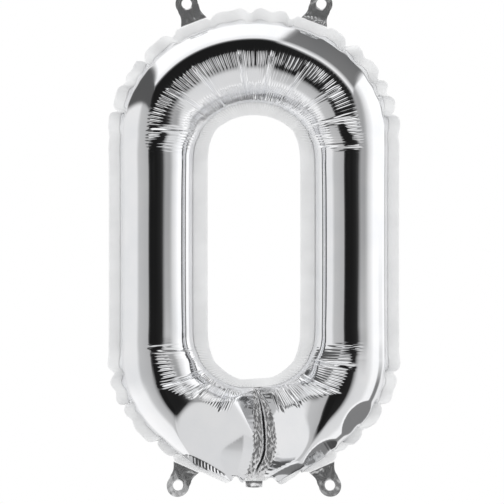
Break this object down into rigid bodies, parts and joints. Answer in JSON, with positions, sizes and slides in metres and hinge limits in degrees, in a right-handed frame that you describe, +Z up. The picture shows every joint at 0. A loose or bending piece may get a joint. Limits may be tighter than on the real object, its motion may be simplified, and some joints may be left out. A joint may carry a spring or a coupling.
{
  "type": "foil number balloon",
  "caption": "Air-filled foil balloon in the shape of a zero, with four holed hanging tabs, welded seams and a self-sealing valve.",
  "frame": {"origin": "midway between the hole centres of the two top tabs, in the plane of the welded seams", "axes": "+Z up along the digit's height, +X to the right seen from the front, front facing -Y"},
  "size_m": [0.2324, 0.0584, 0.4023],
  "materials": {
    "foil": "mirror-bright metallised film",
    "seam": "satin, dulled by the heat weld",
    "weld_strip": "puckered, finely crinkled",
    "valve_film": "clear thin film",
    "tab": "bright flat film"
  },
  "bodies": {
    "balloon": {"front_foil": "foil", "back_foil": "foil", "outer_seam": "seam", "inner_seam": "seam", "crease_weld_strip": "weld_strip", "valve_front_film": "valve_film", "valve_back_film": "valve_film"},
    "tab_top_left": {"tab_top_left": "tab"},
    "tab_top_right": {"tab_top_right": "tab"},
    "tab_bottom_left": {"tab_bottom_left": "tab"},
    "tab_bottom_right": {"tab_bottom_right": "tab"},
    "mouth_front": {"mouth_front_flap": "seam"},
    "mouth_back": {"mouth_back_flap": "seam"}
  },
  "joints": [
    {"name": "tab_top_left_fold", "type": "hinge", "parent": "balloon", "child": "tab_top_left", "pos_m": [-0.04813, 0, -0.01461], "axis": [0.9335, 0, 0.3586], "range_deg": [-90, 90], "stiffness_Nm_per_rad": 0.0004},
    {"name": "tab_top_right_fold", "type": "hinge", "parent": "balloon", "child": "tab_top_right", "pos_m": [0.04813, 0, -0.01461], "axis": [0.9335, 0, -0.3586], "range_deg": [-90, 90], "stiffness_Nm_per_rad": 0.0004},
    {"name": "tab_bottom_left_fold", "type": "hinge", "parent": "balloon", "child": "tab_bottom_left", "pos_m": [-0.05414, 0, -0.37], "axis": [-0.9138, 0, 0.4061], "range_deg": [-90, 90], "stiffness_Nm_per_rad": 0.0004},
    {"name": "tab_bottom_right_fold", "type": "hinge", "parent": "balloon", "child": "tab_bottom_right", "pos_m": [0.05414, 0, -0.37], "axis": [-0.9138, 0, -0.4061], "range_deg": [-90, 90], "stiffness_Nm_per_rad": 0.0004},
    {"name": "mouth_front_open", "type": "hinge", "parent": "balloon", "child": "mouth_front", "pos_m": [0, -0.0005, -0.38125], "axis": [-1, 0, 0], "range_deg": [0, 40], "stiffness_Nm_per_rad": 0.000004},
    {"name": "mouth_back_open", "type": "hinge", "parent": "balloon", "child": "mouth_back", "pos_m": [0, 0.0005, -0.38125], "axis": [1, 0, 0], "range_deg": [0, 40], "stiffness_Nm_per_rad": 0.000004}
  ],
  "couplings": [
    {"joint": "mouth_back_open", "follows": "mouth_front_open", "ratio": 1}
  ]
}
